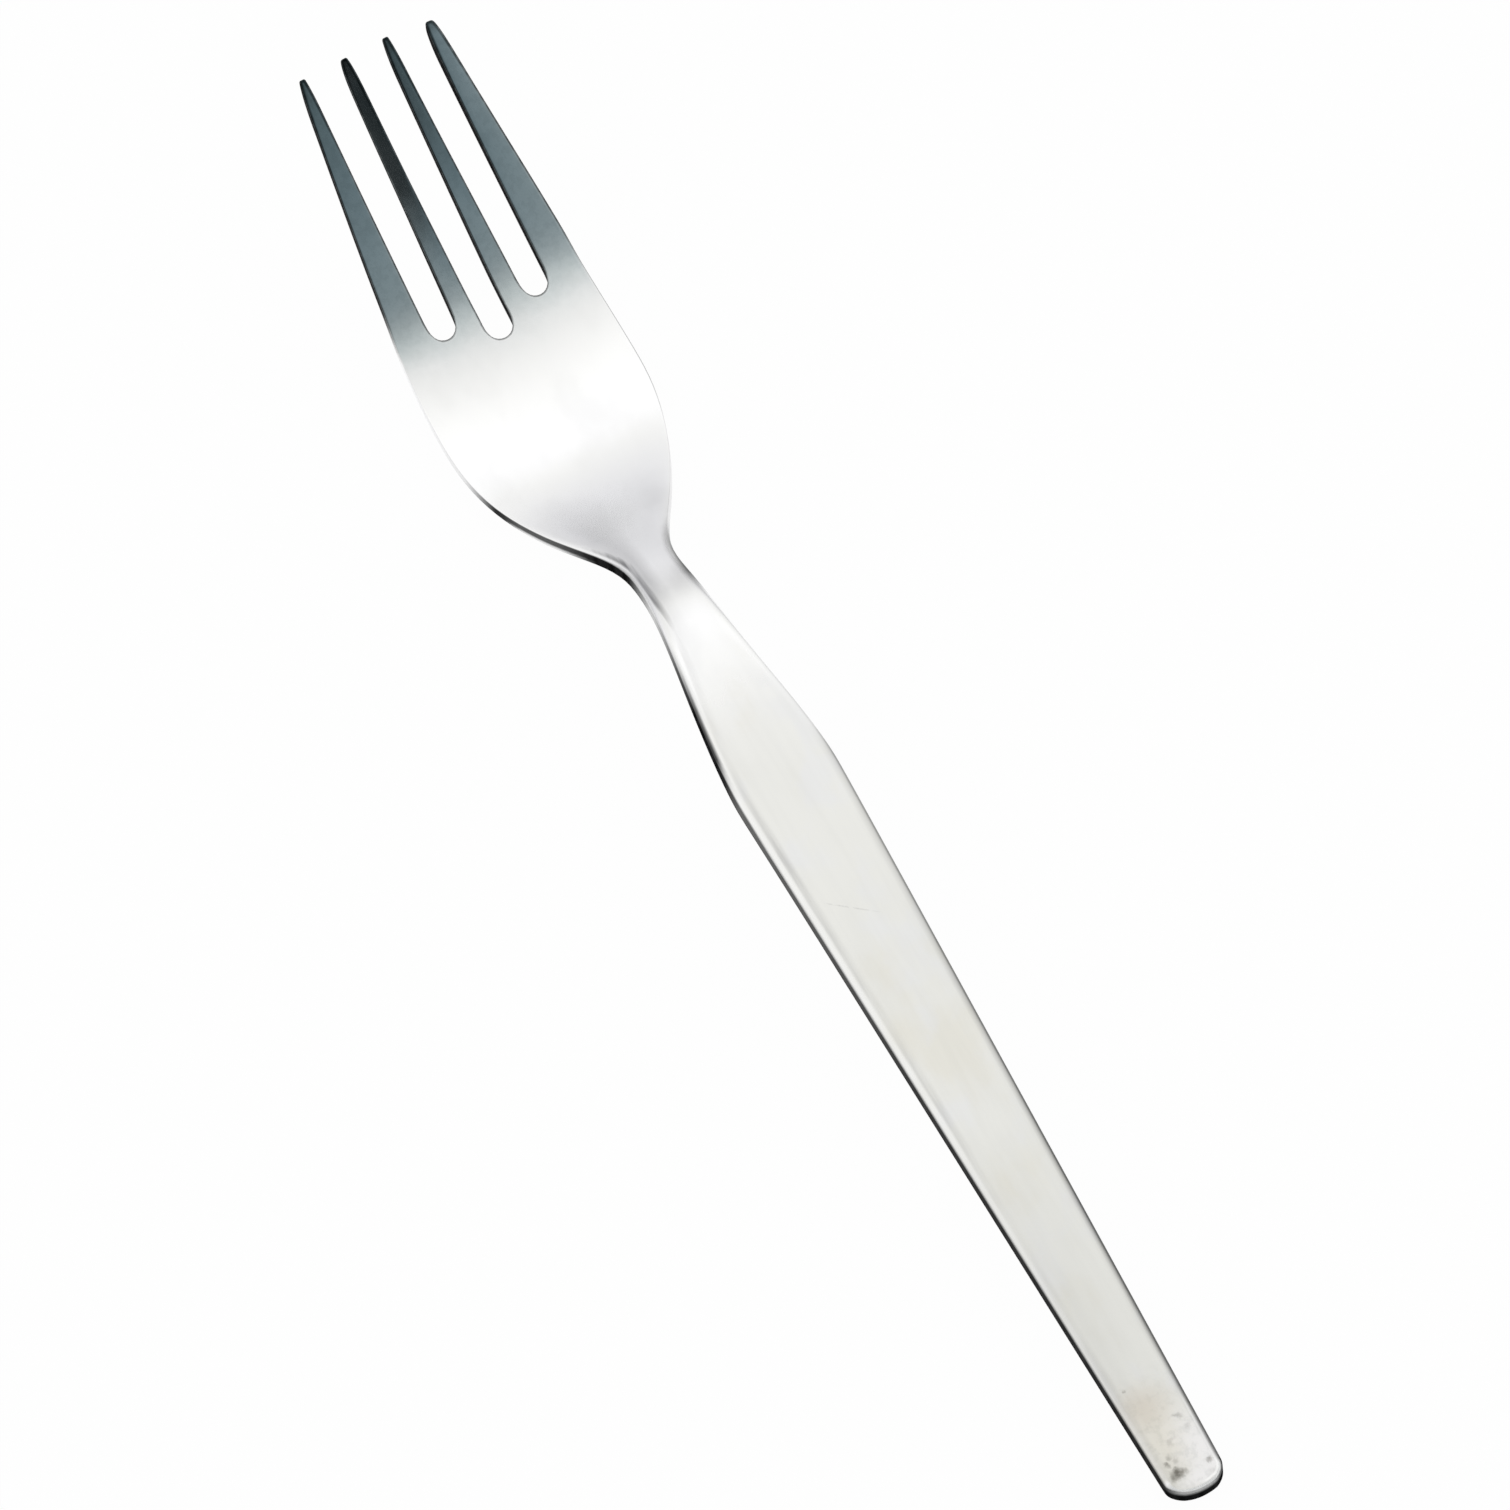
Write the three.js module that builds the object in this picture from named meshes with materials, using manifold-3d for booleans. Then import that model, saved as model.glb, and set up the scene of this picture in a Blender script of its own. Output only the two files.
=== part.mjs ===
import * as THREE from "three";
import { mergeVertices } from "three/addons/utils/BufferGeometryUtils.js";
import Module from "manifold-3d";

// Dessert fork pressed from one rolled blank of stainless steel.
// Sizes are in millimetres. X runs from the handle end to the tine tips and Z is up.
// The fork lies face up, on the underside of its bowl and on the end of its handle.
// The steel is described as regions that meet face to face, with nothing between them.

// Lengths along X, from the handle end to the shoulder, the waist and the tine tips
const HANDLE_LENGTH = 87;
const NECK_LENGTH = 29;
const HEAD_LENGTH = 64.5;

// Plan of the blank. Widths are square to X; falls and spreads are slopes of one side.
const END_WIDTH = 6.2;
const END_ROUND = 2.1;
const END_FLAT = 0.4;
const END_FULLNESS = 2;
const SHOULDER_WIDTH = 11.6;
const SHOULDER_BLEND = 3;
const SHOULDER_FALL = 0.066;
const WAIST_WIDTH = 5.54;
const FLARE_FROM_WAIST = 9.48;
const FLARE_WIDTH = 12.84;
const FLARE_SPREAD = 0.48;
const WIDEST_FROM_WAIST = 26.64;
const HEAD_WIDTH = 23;
const TIP_SPAN = 15.97;
const TIP_FALL = 0.116;

// Tines, and the three slots punched between them
const TINE_TIP_WIDTH = 1.15;
const TINE_ROOT_WIDTH = 2.5;
const SLOT_ROOT_WIDTH = 3;
const OUTER_SLOT_LENGTH = 26.9;
const MIDDLE_SLOT_EXTRA = 2.3;
const OUTER_TINE_SHORTER = 0.35;
const POINT_LENGTH = 3;
const POINT_NOSE_WIDTH = 0.55;
const POINT_NOSE_THICKNESS = 0.75;

// Side profile: heights of the underside above the table, and its slopes
const HANDLE_SLOPE = 0.088;
const HANDLE_STRAIGHT = 70;
const CREST_FROM_SHOULDER = 11.7;
const CREST_HEIGHT = 7.57;
const DROP_BEFORE_WAIST = 3.6;
const DROP_HEIGHT = 7.3;
const DROP_SLOPE = -0.256;
const LOWEST_FROM_WAIST = 20.93;
const BEND_FROM_TIP = 22;
const BEND_HEIGHT = 5.41;
const BEND_SLOPE = 0.575;
const TIP_HEIGHT = 19.3;
const TIP_SLOPE = 0.7;

// Thickness of the rolled steel, and how the press shapes its faces
const HANDLE_THICKNESS = 2.34;
const NECK_THICKNESS = 2.2;
const BOWL_THICKNESS = 1.49;
const TIP_THICKNESS = 1.3;
const NECK_CROWN = 0.5;
const BOWL_DISH = 0.5;

// Rounds of the upper edges, which are rubbed most, and of every lower edge
const END_EDGE = 0.35;
const HANDLE_EDGE = 0.8;
const WAIST_EDGE = 0.6;
const BOWL_EDGE = 0.35;
const TINE_EDGE = 0.12;
const LOWER_EDGE = 0.15;
const PUNCHED_EDGE = 0.03;
const PUNCHED_EDGE_RUN = 4;

// Where the regions meet
const NECK_PAST_WAIST = 3.5;
const TINES_PAST_ROOT = 0.4;

// Fineness of the curved faces, in steps
const EDGE_STEPS = 2;
const BODY_ACROSS = 10;
const TINE_ACROSS = 2;
const END_STEPS = 9;
const HANDLE_STEPS = 6;
const SHOULDER_STEPS = 10;
const NECK_STEPS = 26;
const BOWL_STEPS = 16;
const TINE_STEPS = 14;
const POINT_STEPS = 7;
const SLOT_ARC_STEPS = 12;

const shoulder = HANDLE_LENGTH;
const waist = shoulder + NECK_LENGTH;
const tip = waist + HEAD_LENGTH;
const lowest = waist + LOWEST_FROM_WAIST;
const outerRoot = tip - OUTER_SLOT_LENGTH;
const middleRoot = outerRoot - MIDDLE_SLOT_EXTRA;
const neckEnd = waist + NECK_PAST_WAIST;
const tineStart = outerRoot + SLOT_ROOT_WIDTH / 2 + TINES_PAST_ROOT;

// A smooth curve through knots of [station, value, slope], cubic between neighbours.
function curve(knots) {
  return (x) => {
    let i = 0;
    while (i < knots.length - 2 && x > knots[i + 1][0]) i += 1;
    const [x0, v0, m0] = knots[i];
    const [x1, v1, m1] = knots[i + 1];
    const span = x1 - x0;
    const t = (x - x0) / span;
    const s = 1 - t;
    const ends = v0 * s * s * (1 + 2 * t) + v1 * t * t * (1 + 2 * s);
    return ends + span * t * s * (m0 * s - m1 * t);
  };
}

const underside = curve([
  [0, 0, HANDLE_SLOPE],
  [HANDLE_STRAIGHT, HANDLE_STRAIGHT * HANDLE_SLOPE, HANDLE_SLOPE],
  [shoulder + CREST_FROM_SHOULDER, CREST_HEIGHT, 0],
  [waist - DROP_BEFORE_WAIST, DROP_HEIGHT, DROP_SLOPE],
  [lowest, 0, 0],
  [tip - BEND_FROM_TIP, BEND_HEIGHT, BEND_SLOPE],
  [tip, TIP_HEIGHT, TIP_SLOPE],
]);

const sideSpread = (SHOULDER_WIDTH - END_WIDTH) / 2 / HANDLE_LENGTH;
const halfBlend = SHOULDER_BLEND / 2;

const halfWidth = curve([
  [0, END_WIDTH / 2, sideSpread],
  [shoulder - halfBlend, SHOULDER_WIDTH / 2 - sideSpread * halfBlend, sideSpread],
  [shoulder + halfBlend, SHOULDER_WIDTH / 2 - SHOULDER_FALL * halfBlend, -SHOULDER_FALL],
  [waist, WAIST_WIDTH / 2, 0],
  [waist + FLARE_FROM_WAIST, FLARE_WIDTH / 2, FLARE_SPREAD],
  [waist + WIDEST_FROM_WAIST, HEAD_WIDTH / 2, 0],
  [tip, TIP_SPAN / 2, -TIP_FALL],
]);

const sheet = curve([
  [0, HANDLE_THICKNESS, 0],
  [shoulder, HANDLE_THICKNESS, 0],
  [waist, NECK_THICKNESS, (BOWL_THICKNESS - HANDLE_THICKNESS) / (lowest - shoulder)],
  [lowest, BOWL_THICKNESS, 0],
  [tip, TIP_THICKNESS, 0],
]);

// Rise of the side edges over the middle: the neck is crowned near its sides only, and the
// bowl is dished right across.
const CROWN_POWER = 4;
const DISH_POWER = 2;
const topCamber = curve([
  [0, 0, 0],
  [shoulder, 0, 0],
  [waist, -NECK_CROWN, 0],
  [lowest, BOWL_DISH, 0],
  [tineStart, 0, 0],
  [tip, 0, 0],
]);

const upperEdge = curve([
  [0, HANDLE_EDGE, 0],
  [shoulder, HANDLE_EDGE, 0],
  [waist, WAIST_EDGE, 0],
  [lowest, BOWL_EDGE, 0],
  [tineStart, TINE_EDGE, 0],
  [tip, TINE_EDGE, 0],
]);

// The sheet is measured square to its face, so a sloping stretch is taller upright.
function uprightThickness(x) {
  const step = 0.01;
  const slope = (underside(x + step) - underside(x - step)) / (2 * step);
  return sheet(x) * Math.hypot(1, slope);
}

// How far a rounded corner of the given radius has drawn in at a depth from its face.
function drawIn(radius, depth) {
  if (depth >= radius) return 0;
  return radius - Math.sqrt(radius * radius - (radius - depth) * (radius - depth));
}

// One upright cut through the steel at station x, between side edges `low` and `high`.
// It gives matching points along the top and the underside, round the edges and across.
// The two rounds belong to the upper side edges, and a trim comes off each face.
function section(x, low, high, across, lowRound, highRound, topTrim, underTrim) {
  const tall = uprightThickness(x) - topTrim - underTrim;
  const largest = 0.48 * Math.min(tall, high - low);
  const a = Math.min(lowRound, largest);
  const b = Math.min(highRound, largest);
  const spots = [];
  for (let i = 0; i <= EDGE_STEPS; i += 1) {
    spots.push(low + a * (1 - Math.cos((Math.PI / 2) * (i / EDGE_STEPS))));
  }
  for (let i = 1; i < across; i += 1) {
    spots.push(low + a + (high - b - low - a) * (i / across));
  }
  for (let i = EDGE_STEPS; i >= 0; i -= 1) {
    spots.push(high - b * (1 - Math.cos((Math.PI / 2) * (i / EDGE_STEPS))));
  }
  const camber = topCamber(x);
  const bend = camber < 0 ? CROWN_POWER : DISH_POWER;
  const floor = underside(x) + underTrim;
  const below = Math.min(LOWER_EDGE, a, b);
  const top = [];
  const under = [];
  for (const y of spots) {
    const lift = Math.abs(y / halfWidth(x)) ** bend;
    const drop = drawIn(a, y - low) + drawIn(b, high - y);
    const rise = drawIn(below, y - low) + drawIn(below, high - y);
    top.push([x, y, floor + tall + camber * lift - drop]);
    under.push([x, y, floor + Math.max(camber, 0) * lift + rise]);
  }
  return { top, under };
}

// A closed skin over a row of sections. Row lengths match, so each cut becomes one ring.
function loft(sections) {
  const count = sections[0].top.length;
  const ring = 2 * count;
  const points = [];
  for (const { top, under } of sections) {
    for (const [x, y, z] of top) points.push(x - tip / 2, y, z);
    for (const [x, y, z] of [...under].reverse()) points.push(x - tip / 2, y, z);
  }
  const faces = [];
  for (let s = 0; s + 1 < sections.length; s += 1) {
    for (let i = 0; i < ring; i += 1) {
      const here = s * ring + i;
      const beside = s * ring + ((i + 1) % ring);
      faces.push(here, here + ring, beside + ring, here, beside + ring, beside);
    }
  }
  const last = (sections.length - 1) * ring;
  for (let i = 0; i + 1 < count; i += 1) {
    const below = ring - 1 - i;
    faces.push(i, i + 1, below - 1, i, below - 1, below);
    faces.push(last + i, last + below - 1, last + i + 1, last + i, last + below, last + below - 1);
  }
  const geometry = new THREE.BufferGeometry();
  geometry.setAttribute("position", new THREE.Float32BufferAttribute(points, 3));
  geometry.setIndex(faces);
  return geometry;
}

// Evenly spaced stations from one end to the other, both ends included.
function stations(from, to, count) {
  return Array.from({ length: count + 1 }, (_, i) => from + (to - from) * (i / count));
}

// A full-width cut of the body, with the bowed outline and worn edge of the handle end.
function bodySection(x) {
  const left = Math.max(1 - x / END_ROUND, 0);
  const bow = (1 - left ** END_FULLNESS) ** (1 / END_FULLNESS);
  const half = THREE.MathUtils.lerp(END_FLAT / 2, halfWidth(x), bow);
  const round = upperEdge(x);
  const ends = [drawIn(END_EDGE, x), drawIn(LOWER_EDGE, x)];
  return section(x, -half, half, BODY_ACROSS, round, round, ...ends);
}

// The slots run straight from their roots to the tips, between evenly spaced tines.
const slotTipWidth = (TIP_SPAN - 4 * TINE_TIP_WIDTH) / 3;
const rootPitch = SLOT_ROOT_WIDTH + TINE_ROOT_WIDTH;
const tipPitch = slotTipWidth + TINE_TIP_WIDTH;

function alongSlot(x) {
  return (x - outerRoot) / (tip - outerRoot);
}

function slotPitch(x) {
  return THREE.MathUtils.lerp(rootPitch, tipPitch, alongSlot(x));
}

function slotHalf(x) {
  return THREE.MathUtils.lerp(SLOT_ROOT_WIDTH, slotTipWidth, alongSlot(x)) / 2;
}

function tineEnd(outer) {
  return tip - (outer ? OUTER_TINE_SHORTER : 0);
}

// One cut through a tine. Its slot edges grow round away from the punched root, and its
// end is drawn in to a blunt point, thinned from below.
function tineSection(x, side, outer) {
  const inner = outer ? slotPitch(x) + slotHalf(x) : slotHalf(x);
  const edge = outer ? halfWidth(x) : slotPitch(x) - slotHalf(x);
  const middle = (inner + edge) / 2;
  const left = Math.min((tineEnd(outer) - x) / POINT_LENGTH, 1);
  const swell = Math.sqrt(Math.max(1 - (1 - left) ** 2, 0));
  const half = THREE.MathUtils.lerp(POINT_NOSE_WIDTH, edge - inner, swell) / 2;
  const trim = (uprightThickness(x) - POINT_NOSE_THICKNESS) * (1 - swell);
  const grown = THREE.MathUtils.clamp((x - tineStart) / PUNCHED_EDGE_RUN, 0, 1);
  const slotRound = THREE.MathUtils.lerp(PUNCHED_EDGE, TINE_EDGE, grown);
  const edgeRounds = [slotRound, outer ? TINE_EDGE : slotRound];
  if (side > 0) {
    return section(x, middle - half, middle + half, TINE_ACROSS, ...edgeRounds, 0, trim);
  }
  return section(x, -middle - half, -middle + half, TINE_ACROSS, ...edgeRounds.reverse(), 0, trim);
}

function tine(side, outer) {
  const neckOfPoint = tineEnd(outer) - POINT_LENGTH;
  const bar = stations(tineStart, neckOfPoint, TINE_STEPS);
  const turns = stations(0, Math.PI / 2, POINT_STEPS).slice(1);
  const point = turns.map((turn) => neckOfPoint + POINT_LENGTH * Math.sin(turn));
  return loft([...bar, ...point].map((x) => tineSection(x, side, outer)));
}

const wasm = await Module();
wasm.setup();

function toSolid(geometry) {
  const bare = geometry.clone();
  bare.deleteAttribute("normal");
  bare.deleteAttribute("uv");
  const merged = mergeVertices(bare, 1e-5);
  const vertProperties = new Float32Array(merged.attributes.position.array);
  const triVerts = new Uint32Array(merged.index.array);
  return new wasm.Manifold(new wasm.Mesh({ numProp: 3, vertProperties, triVerts }));
}

function toGeometry(solid) {
  const mesh = solid.getMesh();
  const geometry = new THREE.BufferGeometry();
  geometry.setAttribute("position", new THREE.Float32BufferAttribute(mesh.vertProperties, 3));
  geometry.setIndex([...mesh.triVerts]);
  return geometry;
}

// The punch for one slot: a round root and straight sides that leave past the bowl.
function slotPunch(place, root) {
  const centre = root + slotHalf(root);
  const past = tineStart + SLOT_ROOT_WIDTH;
  const radius = slotHalf(centre);
  const y = place * slotPitch(centre);
  const mouth = place * slotPitch(past);
  const plan = new THREE.Shape();
  plan.moveTo(past - tip / 2, mouth + slotHalf(past));
  plan.lineTo(centre - tip / 2, y + radius);
  plan.absarc(centre - tip / 2, y, radius, Math.PI / 2, (3 * Math.PI) / 2, false);
  plan.lineTo(past - tip / 2, mouth - slotHalf(past));
  plan.closePath();
  const reach = 2 * TIP_HEIGHT;
  const punch = new THREE.ExtrudeGeometry(plan, {
    depth: reach,
    bevelEnabled: false,
    curveSegments: SLOT_ARC_STEPS,
  });
  return toSolid(punch.translate(0, 0, -reach / 2));
}

// Handle: rounded end, straight sides widening to the shoulder
const endTurns = stations(0, Math.PI / 2, END_STEPS).slice(0, -1);
const handleStations = [
  ...endTurns.map((turn) => END_ROUND * (1 - Math.cos(turn))),
  ...stations(END_ROUND, HANDLE_STRAIGHT, HANDLE_STEPS),
  ...stations(HANDLE_STRAIGHT, shoulder, SHOULDER_STEPS).slice(1),
];
const handle = loft(handleStations.map(bodySection));

// Neck: shoulder drawn in to a crowned waist
const neck = loft(stations(shoulder, neckEnd, NECK_STEPS).map(bodySection));

// Bowl: flare from the waist, dished, with the slot roots punched through its front edge
const bowlStations = [
  ...stations(neckEnd, lowest, BOWL_STEPS),
  ...stations(lowest, tineStart, BOWL_STEPS).slice(1),
];
const bowlBlank = toSolid(loft(bowlStations.map(bodySection)));
const punches = [slotPunch(1, outerRoot), slotPunch(0, middleRoot), slotPunch(-1, outerRoot)];
const bowl = toGeometry(punches.reduce((body, punch) => body.subtract(punch), bowlBlank));

const group = new THREE.Group();
group.name = "dessert_fork";

function place(name, geometry, color, roughness) {
  geometry.computeVertexNormals();
  const material = new THREE.MeshStandardMaterial({ color, roughness, metalness: 1 });
  material.name = "stainless_steel";
  const mesh = new THREE.Mesh(geometry, material);
  mesh.name = name;
  group.add(mesh);
}

place("handle", handle, 0xdcdbd5, 0.34);
place("neck", neck, 0xdfdfdc, 0.28);
place("bowl", bowl, 0xe2e2e1, 0.25);
place("tine_1", tine(1, true), 0xc9cfd2, 0.22);
place("tine_2", tine(1, false), 0xc9cfd2, 0.22);
place("tine_3", tine(-1, false), 0xc9cfd2, 0.22);
place("tine_4", tine(-1, true), 0xc9cfd2, 0.22);

export default group;
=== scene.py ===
import math

import bmesh
import bpy
from mathutils import Matrix, Vector
from mathutils.kdtree import KDTree


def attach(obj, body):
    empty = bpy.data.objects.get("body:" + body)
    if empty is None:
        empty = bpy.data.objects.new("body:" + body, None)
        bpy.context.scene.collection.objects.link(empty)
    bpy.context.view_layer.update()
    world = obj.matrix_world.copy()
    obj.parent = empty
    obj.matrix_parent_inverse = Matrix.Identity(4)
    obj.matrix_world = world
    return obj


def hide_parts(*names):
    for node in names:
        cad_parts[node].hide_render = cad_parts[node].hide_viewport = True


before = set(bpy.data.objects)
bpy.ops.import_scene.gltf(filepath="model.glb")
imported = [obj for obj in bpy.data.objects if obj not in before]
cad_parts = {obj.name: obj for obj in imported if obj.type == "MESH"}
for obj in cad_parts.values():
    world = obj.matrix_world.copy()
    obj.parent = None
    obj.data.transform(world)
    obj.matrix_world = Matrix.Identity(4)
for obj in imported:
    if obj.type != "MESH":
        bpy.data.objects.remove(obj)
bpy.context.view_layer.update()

# Fork: one stamped piece of stainless steel with four tines, lying face up.
# A flat blank is cut to its outline and slotted, the press bends it and dishes the bowl,
# and tumbling rounds its edges. It has no joints, so it stands for every CAD region.
HANDLE_LENGTH = 0.087
HANDLE_STRAIGHT = 0.07
HANDLE_RISE = 0.088
HANDLE_THICKNESS = 0.00234
HANDLE_EDGE = 0.0008
END_WIDTH = 0.0062
END_ROUND = 0.0021
END_FLAT = 0.0004
END_EDGE = 0.00025
END_SKEW = 0.04
END_SKEW_PIVOT = 0.0012
RIGHT_CORNER_ROUND = 0.75
SHOULDER_WIDTH = 0.01147
SHOULDER_BLEND = 0.003
SHOULDER_FALL = 0.066
NECK_LENGTH = 0.0294
NECK_TOP_FROM_SHOULDER = 0.0117
NECK_TOP_HEIGHT = 0.00757
NECK_DROP_BEFORE_WAIST = 0.004
NECK_DROP_HEIGHT = 0.0073
NECK_DROP_FALL = 0.256
NECK_THICKNESS = 0.0022
NECK_CROWN = 0.0005
NECK_EDGE = 0.0004
NECK_EDGE_FROM_SHOULDER = 0.015
NECK_LEAN = ((0, 0), (0.098, 0), (0.1115, -0.00011), (0.119, 0.00007), (0.13, 0))
WAIST_WIDTH = 0.00554
WAIST_EDGE = 0.0006
HEAD_LENGTH = 0.0641
HEAD_WIDTH = 0.023
FLARE_FROM_WAIST = 0.00908
FLARE_WIDTH = 0.01284
FLARE_SPREAD = 0.525
LOWEST_FROM_WAIST = 0.02053
WIDEST_FROM_WAIST = 0.02624
BOWL_THICKNESS = 0.00149
BOWL_DISH = 0.0005
BOWL_EDGE = 0.00035
LOWER_EDGE = 0.00015
SLOT_ROOT_WIDTH = 0.003
OUTER_SLOT_LENGTH = 0.0269
MIDDLE_SLOT_EXTRA = 0.0023
ROOT_BLEND = 0.007
TINE_ROOT_WIDTH = 0.0025
TINE_TIP_WIDTH = 0.00115
TINE_BEND_FROM_TIP = 0.022
TINE_BEND_HEIGHT = 0.00541
TINE_BEND_RISE = 0.575
TINE_EDGE = 0.00012
TIP_SPAN = 0.01597
TIP_FALL = 0.116
TIP_HEIGHT = 0.01926
TIP_RISE = 0.70
TIP_THICKNESS = 0.0013
POINT_LENGTH = 0.003
POINT_NOSE_WIDTH = 0.0006
POINT_NOSE_THICKNESS = 0.00075
TINY = 1e-6

shoulder = HANDLE_LENGTH
waist = shoulder + NECK_LENGTH
tip = waist + HEAD_LENGTH
lowest = waist + LOWEST_FROM_WAIST
outer_root = tip - OUTER_SLOT_LENGTH
middle_root = outer_root - MIDDLE_SLOT_EXTRA
point_start = tip - POINT_LENGTH


def part_way(value, low, high):
    return min(max((value - low) / (high - low), 0), 1)


def mix(first, second, share):
    return first + (second - first) * share


# A smooth curve along the fork, through knots of distance from the end, value and slope.
def curve(knots):
    def at(x):
        i = 0
        while i < len(knots) - 2 and x > knots[i + 1][0]:
            i += 1
        (x0, v0, m0), (x1, v1, m1) = knots[i], knots[i + 1]
        span = x1 - x0
        t = (x - x0) / span
        s = 1 - t
        return v0 * s * s * (1 + 2 * t) + v1 * t * t * (1 + 2 * s) + span * t * s * (m0 * s - m1 * t)
    return at


side_spread = (SHOULDER_WIDTH - END_WIDTH) / 2 / HANDLE_LENGTH
half_blend = SHOULDER_BLEND / 2
half_width = curve([
    (0, END_WIDTH / 2, side_spread),
    (shoulder - half_blend, SHOULDER_WIDTH / 2 - side_spread * half_blend, side_spread),
    (shoulder + half_blend, SHOULDER_WIDTH / 2 - SHOULDER_FALL * half_blend, -SHOULDER_FALL),
    (waist, WAIST_WIDTH / 2, 0),
    (waist + FLARE_FROM_WAIST, FLARE_WIDTH / 2, FLARE_SPREAD),
    (waist + WIDEST_FROM_WAIST, HEAD_WIDTH / 2, 0),
    (tip, TIP_SPAN / 2, -TIP_FALL),
])
underside = curve([
    (0, 0, HANDLE_RISE),
    (HANDLE_STRAIGHT, HANDLE_STRAIGHT * HANDLE_RISE, HANDLE_RISE),
    (shoulder + NECK_TOP_FROM_SHOULDER, NECK_TOP_HEIGHT, 0),
    (waist - NECK_DROP_BEFORE_WAIST, NECK_DROP_HEIGHT, -NECK_DROP_FALL),
    (lowest, 0, 0),
    (tip - TINE_BEND_FROM_TIP, TINE_BEND_HEIGHT, TINE_BEND_RISE),
    (tip, TIP_HEIGHT, TIP_RISE),
])
sheet = curve([
    (0, HANDLE_THICKNESS, 0),
    (shoulder, HANDLE_THICKNESS, 0),
    (waist, NECK_THICKNESS, (BOWL_THICKNESS - HANDLE_THICKNESS) / (lowest - shoulder)),
    (lowest, BOWL_THICKNESS, 0),
    (tip, TIP_THICKNESS, 0),
])
camber = curve([
    (0, 0, 0),
    (shoulder, 0, 0),
    (waist, -NECK_CROWN, 0),
    (lowest, BOWL_DISH, 0),
    (outer_root + SLOT_ROOT_WIDTH / 2, 0, 0),
    (tip, 0, 0),
])
upper_edge = curve([
    (0, HANDLE_EDGE, 0),
    (shoulder, HANDLE_EDGE, 0),
    (shoulder + NECK_EDGE_FROM_SHOULDER, NECK_EDGE, 0),
    (waist, WAIST_EDGE, 0),
    (lowest, BOWL_EDGE, 0),
    (outer_root, TINE_EDGE, 0),
    (tip, TINE_EDGE, 0),
])
lean = curve([*[(x, aside, 0) for x, aside in NECK_LEAN], (tip, 0, 0)])


def draw_in(radius, depth):
    return 0 if depth >= radius else radius - math.sqrt(radius ** 2 - (radius - depth) ** 2)


def reach_at(x):
    short = max(1 - x / END_ROUND, 0)
    bow = math.sqrt(1 - short * short)
    return END_FLAT / 2 + (half_width(x) - END_FLAT / 2) * bow


def slope(x):
    step = 1e-5
    return (underside(x + step) - underside(x - step)) / (2 * step)


def thickness(x):
    return sheet(x) * math.hypot(1, slope(x))


slot_tip_width = (TIP_SPAN - 4 * TINE_TIP_WIDTH) / 3


def along_slot(x, at_root, at_tip):
    return mix(at_root, at_tip, (x - outer_root) / (tip - outer_root))


def slot_pitch(x):
    return along_slot(x, SLOT_ROOT_WIDTH + TINE_ROOT_WIDTH, slot_tip_width + TINE_TIP_WIDTH)


def slot_half(x):
    return along_slot(x, SLOT_ROOT_WIDTH, slot_tip_width) / 2


# Rows run across the blank and columns along it. Each slot is six columns wide and each
# tine two, and a slot starts at the row through the centre of its round root. A row at the
# end is bowed, so it has its distance from the end at the middle and at the sides.
END_ROWS = {0: 0.00035, 0.00045: 0.0009, 0.001: 0.0014, 0.0015: 0.0018}
HANDLE_ROWS = (0.0045, 0.010, 0.018, 0.028, 0.038, 0.048, 0.057, 0.064, 0.069, 0.073, 0.0767)
SHOULDER_ROWS = (-0.007, -0.0045, -0.0025, -0.001, 0.0005, 0.002, 0.0038, 0.006, 0.0085, 0.011, 0.0135)
WAIST_ROWS = (-0.013, -0.0105, -0.0082, -0.006, -0.004, -0.002, 0, 0.002, 0.004, 0.006, 0.008, 0.010)
BOWL_ROWS = (0.012, 0.0142, 0.0165, 0.019, 0.0215, 0.024, 0.0265, 0.0288, 0.0308, 0.0326, 0.0342, 0.0356)
TINE_ROWS = (0.024, 0.0223, 0.0202, 0.018, 0.0155, 0.013, 0.0105, 0.008, 0.006, 0.0043)
POINT_ANGLES = (0, 18, 36, 54, 72, 90)
ROOT_ANGLES = (30, 60, 90)
middle_centre = middle_root + slot_half(middle_root)
outer_centre = outer_root + slot_half(outer_root)
rows = [*END_ROWS, END_ROUND, *HANDLE_ROWS]
rows += [shoulder + away for away in SHOULDER_ROWS]
rows += [waist + away for away in (*WAIST_ROWS, *BOWL_ROWS)]
rows += [middle_centre, (middle_centre + outer_centre) / 2, outer_centre]
rows += [tip - away for away in TINE_ROWS]
rows += [point_start + POINT_LENGTH * math.sin(math.radians(angle)) for angle in POINT_ANGLES]
middle_row = rows.index(middle_centre)
outer_row = rows.index(outer_centre)

pitch, half, side = slot_pitch(outer_centre), slot_half(outer_centre), half_width(outer_centre)
arc = [half * math.sin(math.radians(angle)) for angle in ROOT_ANGLES]
right_half = [*arc, pitch / 2, *[pitch - away for away in reversed(arc)], pitch]
right_half += [*[pitch + away for away in arc], (pitch + half + side) / 2, side]
columns = [-y / side for y in reversed(right_half)] + [0] + [y / side for y in right_half]
middle_column = len(columns) // 2
tines = {"tine_4": (0, 2), "tine_3": (8, 10), "tine_2": (16, 18), "tine_1": (24, 26)}
outer_slot_4, middle_slot, outer_slot_1 = (2, 8), (10, 16), (18, 24)
slots = ((outer_slot_4, outer_row, -pitch), (middle_slot, middle_row, 0), (outer_slot_1, outer_row, pitch))

SHEET_SIDE = tip
SHEET_THICKNESS = 0.002
row_step = SHEET_SIDE / (len(rows) - 1)
column_step = SHEET_SIDE / (len(columns) - 1)

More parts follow.
